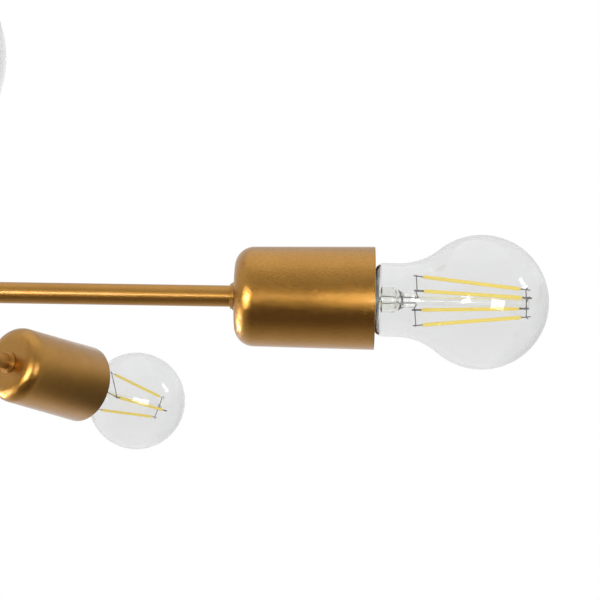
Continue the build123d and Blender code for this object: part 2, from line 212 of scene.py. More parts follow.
# %% Lamps
def softbox(name, target, direction, distance, size, radiance):
    """A rectangular lamp that faces the target, given by the brightness of its own face."""
    lamp = bpy.data.lights.new(name, "AREA")
    lamp.shape = "RECTANGLE"
    lamp.size, lamp.size_y = size
    lamp.energy = radiance * pi * size[0] * size[1]  # a flat face sends out pi times its radiance and area
    thing = bpy.data.objects.new(name, lamp)
    direction = Vector(direction).normalized()
    thing.location = target + direction * distance
    thing.rotation_mode = "QUATERNION"
    thing.rotation_quaternion = direction.to_track_quat("Z", "Y")
    thing.visible_camera = False
    scene.collection.objects.link(thing)
    print(name, "at", thing.location, "with", round(lamp.energy, 1), "W")
    return thing


arm_end = Vector((reach("bulb_glass")[0], 0, middle_height))
lamp_gap, strip_gap, ceiling_gap = 1.6, 1.5, 2.2
softbox("left_key", arm_end, (-0.478, -0.861, -0.173), lamp_gap, (0.44, 0.34), 15.0)
softbox("right_key", arm_end, (0.432, -0.848, -0.308), lamp_gap, (0.64, 0.46), 6.0)
softbox("front_panel", arm_end, (0.0, -0.96, -0.27), lamp_gap, (1.3, 0.30), 0.8)
softbox("side_strip", arm_end, (-0.90, 0.20, -0.39), strip_gap, (0.28, 0.47), 7.0)
shoulder_lamp = softbox("shoulder_lamp", arm_end, (-0.69, -0.665, -0.285), lamp_gap, (0.30, 0.34), 34.0)
rim_lamp = softbox("rim_lamp", arm_end, (-0.75, 0.60, -0.30), lamp_gap, (0.26, 0.46), 14.0)
softbox("top_panel", Vector((0, 0, middle_height)), (0.1, -0.1, 1), ceiling_gap, (2.4, 2.4), 0.25)

# %% [markdown]
# The floor lies a room's height below the ceiling. It is pale and takes light and shadow as paint does, and a
# plain glow is added where the camera sees it, straight or through glass, so that it reads as the same white as
# the rest of the studio. It stays out of reflections: the world's own gradient is what the gold mirrors there.

# %% Floor
room_height = 2.4
floor_size = 14.0
floor_glow = 0.55
floor_material, tree, output = blank_material("floor_paint")
paint = node(tree, "ShaderNodeBsdfDiffuse", {"Color": (0.80, 0.80, 0.79, 1)})
glow = node(tree, "ShaderNodeEmission", {"Color": (1, 1, 1, 1), "Strength": floor_glow})
lit = node(tree, "ShaderNodeAddShader", {0: paint.outputs[0], 1: glow.outputs[0]})
path = node(tree, "ShaderNodeLightPath")
seen = math(tree, "MAXIMUM", path.outputs["Is Camera Ray"], path.outputs["Is Transmission Ray"])
both = node(tree, "ShaderNodeMixShader", {0: seen, 1: paint.outputs[0], 2: lit.outputs[0]})
tree.links.new(both.outputs[0], output.inputs["Surface"])

floor_mesh = bpy.data.meshes.new("floor")
half = floor_size / 2
corners = [(x, y, -room_height) for x, y in ((-half, -half), (half, -half), (half, half), (-half, half))]
floor_mesh.from_pydata(corners, [], [(0, 1, 2, 3)])
floor_mesh.materials.append(floor_material)
floor = bpy.data.objects.new("floor", floor_mesh)
scene.collection.objects.link(floor)
floor.visible_glossy = False
print("the floor lies", room_height, "m below the ceiling")

# %% [markdown]
# ## Gold paint
#
# The arms, cups and column carry a satin gold lacquer with metal flakes in it. It is metal to the light, so its
# colour is the tint of what it reflects. One fine noise stands for the flakes: it tilts the surface a little
# from place to place, which makes the bright bands sparkle, and varies the roughness. Together with a slow
# cloud it also picks the colour between two close golds. A thin clear coat lies on top and adds a sharper,
# weaker gloss, tilted much less.

# %% Gold paint
flake_scale, cloud_scale = 1500.0, 90.0  # noise cells in a metre
flake_share, cloud_share = 0.7, 0.3
deep_gold, deep_below = (0.455, 0.223, 0.042, 1), 0.38
pale_gold, pale_above = (0.545, 0.279, 0.059, 1), 0.62
flake_tilt, coat_tilt = 0.15 * MM, 0.02 * MM
coat_grain, coat_weight, coat_roughness = 0.3, 0.4, 0.09


def gold_paint(name, roughness, grain):
    """Satin metallic lacquer with fine flakes and a faint unevenness."""
    material, tree, output = blank_material(name)
    place = node(tree, "ShaderNodeTexCoord").outputs["Object"]
    flakes = node(
        tree, "ShaderNodeTexNoise", {"Vector": place, "Scale": flake_scale, "Detail": 2.0, "Roughness": 0.6}
    ).outputs["Fac"]
    clouds = node(
        tree, "ShaderNodeTexNoise", {"Vector": place, "Scale": cloud_scale, "Detail": 3.0, "Roughness": 0.5}
    ).outputs["Fac"]
    uneven = math(tree, "MULTIPLY_ADD", clouds, cloud_share, math(tree, "MULTIPLY", flakes, flake_share))
    tint = node(tree, "ShaderNodeValToRGB", {"Fac": uneven})
    for stop, colour, spot in zip(tint.color_ramp.elements, (deep_gold, pale_gold), (deep_below, pale_above)):
        stop.position = spot
        stop.color = colour
    gloss = map_range(tree, flakes, 0.3, 0.7, roughness * 0.9, roughness * 1.1)
    bump = node(tree, "ShaderNodeBump", {"Height": flakes, "Strength": grain, "Distance": flake_tilt})
    coat_bump = node(tree, "ShaderNodeBump", {"Height": flakes, "Strength": coat_grain, "Distance": coat_tilt})
    shader = node(
        tree,
        "ShaderNodeBsdfPrincipled",
        {
            "Base Color": tint.outputs["Color"],
            "Metallic": 1.0,
            "Roughness": gloss,
            "Normal": bump.outputs[0],
            "Coat Weight": coat_weight,
            "Coat Roughness": coat_roughness,
            "Coat Normal": coat_bump.outputs[0],
        },
    )
    tree.links.new(shader.outputs[0], output.inputs["Surface"])
    return material


# %% [markdown]
# ## Glass
#
# Blown glass is modelled as a real wall with two faces, so the shader only needs the glass's index. Each face
# mirrors a little and takes a little, which greys the bulb against white. Lamps have to reach the filaments
# inside, and light that is aimed straight at them would be stopped by a bending surface, so such rays pass.

# %% Glass
lamp_share = (0.95, 0.95, 0.95, 1)  # what one face lets through to a shadow or a diffuse ray


def clear_glass(name, tint, index):
    """Clear glass that bends what is seen through it and lets lamps through."""
    material, tree, output = blank_material(name)
    shader = node(
        tree,
        "ShaderNodeBsdfPrincipled",
        {"Base Color": tint, "Roughness": 0.0, "IOR": index, "Transmission Weight": 1.0},
    )
    through = node(tree, "ShaderNodeBsdfTransparent", {"Color": lamp_share})
    path = node(tree, "ShaderNodeLightPath")
    shadow = math(tree, "MAXIMUM", path.outputs["Is Shadow Ray"], path.outputs["Is Diffuse Ray"])
    both = node(tree, "ShaderNodeMixShader", {0: shadow, 1: shader.outputs[0], 2: through.outputs[0]})
    tree.links.new(both.outputs[0], output.inputs["Surface"])
    return material


# %% [markdown]
# ## Plain finishes
#
# The small parts share one recipe: a colour with a slow cloud in it, a roughness, and a fine grain as bump. Only
# the numbers differ between moulded plastic, drawn metal and the silicone over the filaments. The silicone also
# has a faint painted glow: emission that stands in for the light that goes into it and comes out again all over.

# %% Plain finishes
cloud_to_grain = 0.15
gloss_low, gloss_high = 0.85, 1.15
grain_strength = 0.5


def plain_finish(name, dark, light, metallic, roughness, grain, depth, glow=0.0):
    """A finish from two close colours, a roughness and a grain of that size and depth in metres, with an optional
    painted glow.
    """
    material, tree, output = blank_material(name)
    place = node(tree, "ShaderNodeTexCoord").outputs["Object"]
    clouds = node(tree, "ShaderNodeTexNoise", {"Vector": place, "Scale": cloud_to_grain / grain, "Detail": 3.0})
    fine = node(tree, "ShaderNodeTexNoise", {"Vector": place, "Scale": 1 / grain, "Detail": 2.0})
    tint = node(tree, "ShaderNodeMix", {"Factor": clouds.outputs["Fac"], "A": dark, "B": light}, data_type="RGBA")
    gloss = map_range(tree, clouds.outputs["Fac"], 0.0, 1.0, roughness * gloss_low, roughness * gloss_high)
    bump = node(
        tree, "ShaderNodeBump", {"Height": fine.outputs["Fac"], "Strength": grain_strength, "Distance": depth}
    )
    shader = node(
        tree,
        "ShaderNodeBsdfPrincipled",
        {
            "Base Color": tint.outputs["Result"],
            "Metallic": metallic,
            "Roughness": gloss,
            "Normal": bump.outputs[0],
            # painted glow: emission in the lighter colour, standing in for light scattered inside the finish
            "Emission Color": light,
            "Emission Strength": glow,
        },
    )
    tree.links.new(shader.outputs[0], output.inputs["Surface"])
    return material


# %% [markdown]
# Each finish is mixed once, and its pieces share it. The cups shine and sparkle most, the column a little less,
# and the thin arms least. Then come the bulbs' glass, the filaments' coat and the metals and plastics.

# %% All finishes
gold = gold_paint("gold_paint", roughness=0.24, grain=1.0)
gold_tube = gold_paint("gold_tube", roughness=0.38, grain=0.4)
gold_column = gold_paint("gold_column", roughness=0.27, grain=0.4)
bulb_glass = clear_glass("bulb_glass", (0.87, 0.872, 0.872, 1), 1.42)
stem_glass = clear_glass("stem_glass", (0.955, 0.965, 0.93, 1), 1.32)
# the silicone's last number, 0.27, is a painted glow that stands in for light scattering through it
phosphor = plain_finish(
    "filament_phosphor", (0.88, 0.68, 0.11, 1), (0.92, 0.74, 0.16, 1), 0.0, 0.42, 0.0006, 0.00003, 0.27
)
wire_metal = plain_finish("wire_metal", (0.16, 0.15, 0.14, 1), (0.26, 0.25, 0.23, 1), 1.0, 0.38, 0.0005, 0.00001)
cap_metal = plain_finish("cap_metal", (0.60, 0.58, 0.54, 1), (0.74, 0.72, 0.68, 1), 1.0, 0.28, 0.0012, 0.00001)
solder = plain_finish("solder", (0.50, 0.50, 0.50, 1), (0.66, 0.66, 0.65, 1), 1.0, 0.34, 0.0014, 0.00004)
brass = plain_finish("brass", (0.56, 0.38, 0.14, 1), (0.66, 0.46, 0.19, 1), 1.0, 0.30, 0.0010, 0.00001)
zinc = plain_finish("zinc_plate", (0.54, 0.56, 0.57, 1), (0.70, 0.70, 0.67, 1), 1.0, 0.33, 0.0016, 0.00002)
black_plastic = plain_finish(
    "black_plastic", (0.016, 0.016, 0.017, 1), (0.026, 0.026, 0.027, 1), 0.0, 0.42, 0.0007, 0.00003
)
white_plastic = plain_finish(
    "white_plastic", (0.74, 0.74, 0.71, 1), (0.82, 0.82, 0.79, 1), 0.0, 0.45, 0.0008, 0.00003
)
print(len(bpy.data.materials), "materials")

# %% [markdown]
# ## Turning on a lathe
#
# Cups, collars, caps and bulbs are all turned shapes: one outline, spun round one axis. The outline is a list of
# corners, each with its own fillet, because no real edge is perfectly sharp and the fillets are what catch the
# light. `rounded` turns the corners into points, and `lathe` spins the points into a closed mesh along +X.


# %% Outline helpers
def arc(centre, radius, start, end, step=5.0):
    """Points on an arc, in degrees, both ends included."""
    count = max(2, round(abs(end - start) / step))
    angles = [radians(start + (end - start) * i / count) for i in range(count + 1)]
    return [(centre[0] + radius * cos(a), centre[1] + radius * sin(a)) for a in angles]


def rounded(corners, step=7.5, coarse_step=30.0, small=1.5 * MM):
    """Points along a closed outline of (x, radius, fillet) corners. Small fillets take fewer points."""
    points = []
    for i, (x, y, fillet) in enumerate(corners):
        corner = Vector((x, y))
        to_last = (Vector(corners[i - 1][:2]) - corner).normalized()
        to_next = (Vector(corners[(i + 1) % len(corners)][:2]) - corner).normalized()
        if fillet == 0:
            points.append((x, y))
            continue
        half_angle = to_last.angle(to_next) / 2
        centre = corner + (to_last + to_next).normalized() * (fillet / sin(half_angle))
        first = corner + to_last * (fillet / tan(half_angle)) - centre
        last = corner + to_next * (fillet / tan(half_angle)) - centre
        start = degrees(atan2(first.y, first.x))
        swing = (degrees(atan2(last.y, last.x)) - start + 180) % 360 - 180
        points += arc(centre, fillet, start, start + swing, coarse_step if fillet < small else step)
    return points


def lathe(name, outline, segments=96):
    """A closed outline of (x, radius) points spun round the X axis."""
    shape = bmesh.new()
    rings = []
    for x, radius in outline:
        if radius < 1e-7:
            rings.append([shape.verts.new((x, 0, 0))] * segments)
            continue
        angles = [2 * pi * i / segments for i in range(segments)]
        rings.append([shape.verts.new((x, radius * cos(a), radius * sin(a))) for a in angles])
    for ring, following in zip(rings, rings[1:] + rings[:1]):
        for i in range(segments):
            j = (i + 1) % segments
            loop = [ring[i], ring[j], following[j], following[i]]
            loop = [v for k, v in enumerate(loop) if v not in loop[:k]]
            if len(loop) > 2:
                shape.faces.new(loop)
    return closed_mesh(name, shape)


def closed_mesh(name, shape, sharp=35.0):
    """Turns a bmesh into a mesh with outward faces, smooth except at sharp edges."""
    bmesh.ops.recalc_face_normals(shape, faces=shape.faces)
    mesh = bpy.data.meshes.new(name)
    shape.to_mesh(mesh)
    shape.free()
    mesh.shade_smooth()
    mesh.set_sharp_from_angle(angle=radians(sharp))
    return mesh


# %% [markdown]
# A finished piece keeps its place in its mesh and its object at the origin, as the frame's own nodes do. It
# rides on the body that moves it, takes the finish it is given, and may stand for a node.


# %% Placing a piece
def piece(name, mesh, place, body, slot, material, *nodes):
    """A copy of a mesh at its place, riding on a body."""
    data = mesh.copy()
    data.name = name
    data.transform(place)
    if material is not None:
        data.materials.clear()
        data.materials.append(material)
    thing = bpy.data.objects.new(name, data)
    scene.collection.objects.link(thing)
    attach(thing, body)
    if nodes:
        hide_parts(*nodes)
    return thing


# %% [markdown]
# ## Cups
#
# A cup is drawn from one sheet: a flat back with a hole for the arm's spigot, a wide round shoulder, and a wall
# that opens a little towards a thin rim. It is one turned outline, with the wall's true thickness.

# %% Cups
cup_back, cup_mouth, cup_mouth_radius = reach("cup")
cup_wall = 1.2 * MM
cup_back_radius = 22.15 * MM
cup_shoulder = 8.8 * MM
cup_lip = 0.35 * MM
spigot_radius = 5 * MM
spigot_hole = spigot_radius + 0.05 * MM
cup_outline = rounded(
    [
        (cup_back, spigot_hole, 0),
        (cup_back, cup_back_radius, cup_shoulder),
        (cup_mouth, cup_mouth_radius, cup_lip),
        (cup_mouth, cup_mouth_radius - cup_wall, cup_lip),
        (cup_back + cup_wall, cup_back_radius - cup_wall, cup_shoulder - cup_wall),
        (cup_back + cup_wall, spigot_hole, 0),
    ],
    step=5.0,
)
cup_mesh = lathe("cup", cup_outline, 128)
for number, place in arm_places.items():
    piece(f"gold_cup_{number}", cup_mesh, place, f"swing_arm_{number}", "gold_paint", gold, f"cup_{number}")
print("cup outline has", len(cup_outline), "points")

# %% [markdown]
# ## Arms
#
# The arm is a thin tube. Its collar holds the cup from behind: a flange with a small bead in front of it, which
# catches the light as two bright rings. Beyond the collar the spigot goes through the cup into the lampholder.

# %% Arms
arm_root, spigot_tip, collar_radius = reach("arm")
arm_radius = 4.75 * MM
arm_bore = 3.75 * MM
bead_radius = 5.7 * MM
collar_start = cup_back - 2 * MM
flange_start = cup_back - 1.1 * MM
arm_outline = rounded(
    [
        (arm_root, arm_bore, 0),
        (arm_root, arm_radius, 0),
        (collar_start, arm_radius, 0.15 * MM),
        (collar_start, bead_radius, 0.35 * MM),
        (flange_start, bead_radius, 0.12 * MM),
        (flange_start, collar_radius, 0.4 * MM),
        (cup_back, collar_radius, 0.2 * MM),
        (cup_back, spigot_radius, 0),
        (spigot_tip, spigot_radius, 0.3 * MM),
        (spigot_tip, arm_bore, 0),
    ]
)
arm_mesh = lathe("arm", arm_outline, 64)
for number, place in arm_places.items():
    piece(f"gold_arm_{number}", arm_mesh, place, f"swing_arm_{number}", "gold_paint", gold_tube, f"arm_{number}")
print("each arm is", round((cup_back - arm_root) / MM), "mm long up to its cup")

# %% [markdown]
# Two of the lamps are there only to draw the cups' shoulders and back edges, so they light the cups alone and
# leave no marks in the glass.

# %% Lamps for the cups alone
cups_only = bpy.data.collections.new("cups_only")
for number in arm_numbers:
    cups_only.objects.link(bpy.data.objects[f"gold_cup_{number}"])
for lamp in (shoulder_lamp, rim_lamp):
    lamp.light_linking.receiver_collection = cups_only

# %% [markdown]
# ## How the bulbs sit
#
# A bulb has a little play in its thread, so it hangs a fraction of a degree, and each one stops at its own angle
# when it is screwed tight. Everything in a bulb is placed with these matrices.

# %% One matrix for each bulb
sag = radians(0.6)
screw_turn = radians(31)
socket_bottom = Vector((cup_back + 10 * MM, 0, 0))  # the point on the axis that a bulb hangs from
hang = Matrix.Translation(socket_bottom) @ Matrix.Rotation(sag, 4, "Y") @ Matrix.Translation(-socket_bottom)
bulb_places = {
    number: place @ hang @ Matrix.Rotation(screw_turn * (number - middle_arm), 4, "X")
    for number, place in arm_places.items()
}
print("each bulb is turned", round(degrees(screw_turn)), "degrees from the one below it")

# %% [markdown]
# ## Bulb envelopes
#
# The envelope is blown in a mould: a curled base, a straight neck, a hollow blend and a round globe. The blend's
# radius follows from the others, because its arc has to meet the neck and the globe without a corner. The inner
# face is the same outline set in by the wall.

# %% Bulb envelopes
base_end, globe_tip, globe_radius = reach("bulb_glass")
glass_wall = 0.8 * MM
base_radius = 12.6 * MM
neck_radius = 16.4 * MM
neck_end = base_end + 10 * MM
globe_centre = globe_tip - globe_radius
curl = neck_radius - base_radius
blend_run = globe_centre - neck_end
blend_radius = (blend_run**2 - globe_radius**2 + neck_radius**2) / (2 * (globe_radius - neck_radius))
meeting = degrees(atan2(-(neck_radius + blend_radius), blend_run))


def envelope_outline(inset):
    """Half outline from the base to the tip, set in by `inset`."""
    return (
        arc((base_end + curl, base_radius), curl - inset, 180, 90)
        + arc((neck_end, neck_radius + blend_radius), blend_radius + inset, -90, meeting, 4)
        + arc((globe_centre, 0), globe_radius - inset, 180 + meeting, 0, 3.5)[1:]
    )


envelope_mesh = lathe("envelope", envelope_outline(0) + envelope_outline(glass_wall)[::-1], 112)
for number, place in bulb_places.items():
    piece(
        f"envelope_{number}", envelope_mesh, place, f"bulb_{number}", "bulb_glass", bulb_glass, f"bulb_glass_{number}"
    )
print("an envelope has", len(envelope_mesh.polygons), "faces")

# %% [markdown]
# ## Stem
#
# Inside the neck stands the stem: a flared glass tube whose end is pressed flat round the lead wires while hot,
# and a glass rod that goes on to carry the far ends of the filaments. The pinch isn't round, so after the lathe
# its points are squeezed on one side and spread on the other.

# %% Stem
flare_radius = base_radius - 0.05 * MM
tube_radius = 5.6 * MM
tube_wall = 0.9 * MM
rod_radius = 1.9 * MM
pinch_radius = 2.7 * MM
pinch_start, pinch_end = base_end + 13 * MM, base_end + 18.2 * MM
rod_end = base_end + 69 * MM
stem_outline = rounded(
    [
        (base_end, flare_radius, 0),
        (base_end + glass_wall, flare_radius, 0),
        (base_end + 2.2 * MM, tube_radius, 1.2 * MM),
        (base_end + 9.2 * MM, tube_radius, 3.5 * MM),
        (pinch_start, pinch_radius, 1.5 * MM),
        (pinch_end, pinch_radius, 0.6 * MM),
        (pinch_end, rod_radius, 0.4 * MM),
        (rod_end, rod_radius, 0.8 * MM),
        (rod_end, 0, 0),
        (base_end + 11.4 * MM, 0, 0),
        (base_end + 8.6 * MM, tube_radius - tube_wall, 2.5 * MM),
        (base_end + 3.0 * MM, tube_radius - tube_wall, 1.0 * MM),
        (base_end + glass_wall, flare_radius - 1.6 * MM, 0),
        (base_end, flare_radius - 1.2 * MM, 0),
    ]
)
stem_mesh = lathe("stem", stem_outline, 40)
squeeze, spread = 0.68, 1.22
for point in stem_mesh.vertices:
    if pinch_start - 1 * MM < point.co.x < pinch_end + 0.1 * MM:
        point.co.y *= squeeze
        point.co.z *= spread
for number, place in bulb_places.items():
    piece(
        f"stem_{number}", stem_mesh, place, f"bulb_{number}", "bulb_glass", stem_glass, f"bulb_filaments_{number}"
    )

# %% [markdown]
# ## Copies round an axis
#
# Four filaments, four spokes and two leads stand round the arm's axis in even turns, and so do the grip ribs of
# the lampholder. A small geometry tree does that: it takes the one piece it is given, puts a copy on each of a
# few points, turns each copy by its number, makes them real and gives them their material.


# %% Ring tree
def new_tree(name, inputs):
    """A geometry tree with a Geometry input and output and the named inputs, and its two end nodes."""
    tree = bpy.data.node_groups.new(name, "GeometryNodeTree")
    tree.interface.new_socket("Geometry", in_out="INPUT", socket_type="NodeSocketGeometry")
    for label, kind in inputs.items():
        tree.interface.new_socket(label, in_out="INPUT", socket_type=kind)
    tree.interface.new_socket("Geometry", in_out="OUTPUT", socket_type="NodeSocketGeometry")
    return tree, node(tree, "NodeGroupInput").outputs, node(tree, "NodeGroupOutput").inputs


def ring_tree():
    """Copies of a piece, turned about the X axis in even steps."""
    inputs = {"Copies": "NodeSocketInt", "First turn": "NodeSocketFloat", "Finish": "NodeSocketMaterial"}
    tree, given, result = new_tree("ring_of_copies", inputs)
    points = node(tree, "GeometryNodePoints", {"Count": given["Copies"]})
    copies = node(
        tree, "GeometryNodeInstanceOnPoints", {"Points": points.outputs[0], "Instance": given["Geometry"]}
    )
    number = node(tree, "GeometryNodeInputIndex").outputs[0]
    step = math(tree, "DIVIDE", 2 * pi, given["Copies"])
    turn = math(tree, "MULTIPLY_ADD", number, step, given["First turn"])
    rotation = node(tree, "ShaderNodeCombineXYZ", {"X": turn})
    turned = node(
        tree,
        "GeometryNodeRotateInstances",
        {"Instances": copies.outputs[0], "Rotation": rotation.outputs[0], "Local Space": False},
    )
    real = node(tree, "GeometryNodeRealizeInstances", {"Geometry": turned.outputs[0]})
    finish = node(
        tree, "GeometryNodeSetMaterial", {"Geometry": real.outputs[0], "Material": given["Finish"]}
    )
    tree.links.new(finish.outputs[0], result[0])
    return tree


def through_tree(mesh, tree, **values):
    """Runs a mesh through a geometry tree and returns the plain mesh that comes out."""
    thing = bpy.data.objects.new(mesh.name, mesh)
    scene.collection.objects.link(thing)
    modifier = thing.modifiers.new(tree.name, "NODES")
    modifier.node_group = tree
    for socket in tree.interface.items_tree:
        label = socket.name.replace(" ", "_").lower()
        if socket.in_out == "INPUT" and label in values:
            modifier[socket.identifier] = values[label]
    scene.view_layers[0].update()
    evaluated = thing.evaluated_get(bpy.context.evaluated_depsgraph_get())
    result = bpy.data.meshes.new_from_object(evaluated)
    bpy.data.objects.remove(thing)
    print(mesh.name, "through", tree.name, "gives", len(result.polygons), "faces")
    return result


ring = ring_tree()

# %% [markdown]
# ## Filaments
#
# A filament is a thin strip of tiny chips under a yellow silicone coat, with a flat metal tab at each end. It
# leans inwards towards the far end. The coat is turned on the lathe, with a faint ripple where the chips are,
# and then laid along its line. Four copies make the cage.


# %% Filaments
def tube(shape, points, radius, sides=8):
    """Adds a closed round wire through the points to a bmesh."""
    points = [Vector(p) for p in points]
    rings = []
    normal = None
    for i, point in enumerate(points):
        ahead = points[min(i + 1, len(points) - 1)] - points[max(i - 1, 0)]
        ahead.normalize()
        guide = normal if normal is not None else ahead.orthogonal()
        normal = (guide - ahead * guide.dot(ahead)).normalized()
        side = ahead.cross(normal)
        angles = [2 * pi * k / sides for k in range(sides)]
        rings.append([shape.verts.new(point + (normal * cos(a) + side * sin(a)) * radius) for a in angles])
    for ring_a, ring_b in zip(rings, rings[1:]):
        for k in range(sides):
            m = (k + 1) % sides
            shape.faces.new((ring_a[k], ring_a[m], ring_b[m], ring_b[k]))
    shape.faces.new(rings[0][::-1])
    shape.faces.new(rings[-1])


def plate(shape, start, end, width, thickness):
    """Adds a flat strip from start to end to a bmesh, its width across the X-Z plane."""
    ahead = (end - start).normalized()
    across = Vector((0, 1, 0))
    flat = ahead.cross(across)
    corners = [
        shape.verts.new(spot + across * (width / 2 * a) + flat * (thickness / 2 * b))
        for spot in (start, end)
        for a, b in ((-1, -1), (1, -1), (1, 1), (-1, 1))
    ]
    for loop in ((0, 3, 2, 1), (4, 5, 6, 7), (0, 1, 5, 4), (1, 2, 6, 5), (2, 3, 7, 6), (3, 0, 4, 7)):
        shape.faces.new([corners[k] for k in loop])


filament_copies = 4
first_filament = radians(-5)
near_end = Vector((base_end + 21.6 * MM, 0, 11.5 * MM))
far_end = Vector((base_end + 65.0 * MM, 0, 6.8 * MM))
coat_radius = 0.85 * MM
coat_blunt = 0.35  # how full the coat already is at its very end
chip_pitch = 1.1 * MM
chip_ripple = 0.035
coat_length = (far_end - near_end).length
coat_outline = [(0, 0)]
stations = 120
for i in range(stations + 1):
    run = coat_length * i / stations
    to_end = min(run, coat_length - run)
    fullness = min(1, (to_end / coat_radius + coat_blunt) ** 0.5)
    swell = fullness * (1 - chip_ripple * cos(2 * pi * run / chip_pitch))
    coat_outline.append((run, coat_radius * swell))
coat_outline.append((coat_length, 0))
coat_mesh = lathe("filament_coat", coat_outline, 12)
lean = (far_end - near_end).to_track_quat("X", "Z").to_matrix().to_4x4()
coat_mesh.transform(Matrix.Translation(near_end) @ lean)
coat_mesh = through_tree(
    coat_mesh, ring, copies=filament_copies, first_turn=first_filament, finish=phosphor
)

# %% [markdown]
# The wires that hold the filaments come out of the pinch, run to the near tabs and join them in pairs. At the
# far end four short spokes stand out of the rod's tip, each bent over its filament's tab.

# %% Tabs, spokes and leads
wire_radius = 0.26 * MM
tab_width, tab_thickness = 0.8 * MM, 0.3 * MM
tab_out = 4.4 * MM
hook_at, joint_at = 0.55, 0.7  # where along the tabs the spokes and the leads are joined to them
direction = (far_end - near_end).normalized()
shape = bmesh.new()
plate(shape, near_end - direction * tab_out, near_end + direction * MM, tab_width, tab_thickness)
plate(shape, far_end - direction * MM, far_end + direction * tab_out, tab_width, tab_thickness)
hook = far_end + direction * tab_out * hook_at
tube(
    shape,
    [
        (rod_end - 1.6 * MM, 0, 0.4 * MM),
        (rod_end - 1.4 * MM, 0, 3.0 * MM),
        (hook.x, 0, hook.z - 0.6 * MM),
        (hook.x + 0.1 * MM, 0, hook.z + 0.3 * MM),
        (hook.x + 0.9 * MM, 0.2 * MM, hook.z + 1.0 * MM),
    ],
    wire_radius,
)
tab_mesh = through_tree(
    closed_mesh("filament_tabs", shape),
    ring,
    copies=filament_copies,
    first_turn=first_filament,
    finish=wire_metal,
)

lead_copies = 2
near_tab = near_end - direction * tab_out * joint_at
quarter = 2 * pi / filament_copies
next_tab = Matrix.Rotation(quarter, 3, "X") @ near_tab
shape = bmesh.new()
tube(
    shape,
    [
        near_tab + (near_tab - next_tab).normalized() * MM,
        near_tab,
        next_tab,
        next_tab + (next_tab - near_tab).normalized() * MM,
    ],
    wire_radius,
)
inner_lead = Vector((0, next_tab.y, next_tab.z)).normalized()
tube(
    shape,
    [
        (base_end - 4 * MM, 0, 1.6 * MM),
        (base_end + 6 * MM, 0, 1.7 * MM),
        (pinch_start - MM, 0, 1.3 * MM),
        (pinch_end, 0, 1.1 * MM),
        Vector((pinch_end + 1.2 * MM, 0, 0)) + inner_lead * 3.5 * MM,
        next_tab - Vector((0.4 * MM, 0, 0)) - inner_lead * 2 * MM,
        next_tab,
    ],
    wire_radius,
)
lead_mesh = through_tree(
    closed_mesh("lead_wires", shape), ring, copies=lead_copies, first_turn=first_filament, finish=wire_metal
)
for number, place in bulb_places.items():
    body, stands_for = f"bulb_{number}", f"bulb_filaments_{number}"
    piece(f"filaments_{number}", coat_mesh, place, body, "filament", None, stands_for)
    piece(f"filament_tabs_{number}", tab_mesh, place, body, "cap_metal", None, stands_for)
    piece(f"lead_wires_{number}", lead_mesh, place, body, "cap_metal", None, stands_for)

# %% [markdown]
# ## Rolled threads
#
# A bulb's cap is thin metal with the thread rolled into it, so inside and outside wave together. The lathe gives
# a plain shell, and a geometry tree pushes each point in or out by a cosine of its angle plus its distance along
# the cap: that is a helix. The wave fades out at both ends, so the shell's rims stay round.


# %% Thread tree
def thread_tree():
    """Waves a turned shell into a rolled thread about the X axis."""
    inputs = {
        "Start": "NodeSocketFloat",
        "End": "NodeSocketFloat",
        "Pitch": "NodeSocketFloat",
        "Depth": "NodeSocketFloat",
        "Finish": "NodeSocketMaterial",
    }
    tree, given, result = new_tree("rolled_thread", inputs)
    spot = node(tree, "GeometryNodeInputPosition").outputs[0]
    parts = node(tree, "ShaderNodeSeparateXYZ", {0: spot}).outputs
    angle = math(tree, "ARCTAN2", parts["Z"], parts["Y"])
    turns = math(tree, "MULTIPLY", math(tree, "DIVIDE", parts["X"], given["Pitch"]), 2 * pi)
    wave = math(tree, "COSINE", math(tree, "SUBTRACT", turns, angle))
    wave = math(tree, "MULTIPLY_ADD", wave, 0.5, -0.5)
    fades = []
    for edge, sign in (("Start", 1), ("End", -1)):
        inside = math(tree, "MULTIPLY", math(tree, "SUBTRACT", parts["X"], given[edge]), sign)
        share = math(tree, "DIVIDE", inside, given["Pitch"])
        fades.append(node(tree, "ShaderNodeMapRange", {"Value": share}, interpolation_type="SMOOTHSTEP").outputs[0])
    wave = math(tree, "MULTIPLY", wave, math(tree, "MULTIPLY", *fades))
    push = math(tree, "MULTIPLY", wave, given["Depth"])
    sideways = node(tree, "ShaderNodeCombineXYZ", {"Y": parts["Y"], "Z": parts["Z"]}).outputs[0]
    outward = node(tree, "ShaderNodeVectorMath", {0: sideways}, operation="NORMALIZE").outputs[0]
    shift = node(tree, "ShaderNodeVectorMath", {0: outward, "Scale": push}, operation="SCALE").outputs[0]
    moved = node(tree, "GeometryNodeSetPosition", {"Geometry": given["Geometry"], "Offset": shift})
    finish = node(
        tree, "GeometryNodeSetMaterial", {"Geometry": moved.outputs[0], "Material": given["Finish"]}
    )
    tree.links.new(finish.outputs[0], result[0])
    return tree


thread = thread_tree()


def fine_wall(start, end, radius, step):
    """Evenly spaced outline points along a straight wall."""
    count = round(abs(end - start) / step)
    return [(start + (end - start) * i / count, radius) for i in range(count + 1)]


# %% [markdown]
# ## Bulb caps
#
# From the tip: a dome of solder, a cone of black glass that keeps it apart from the shell, and the threaded
# shell, which is turned in over the cone. At its other end the shell stands straight round the envelope.

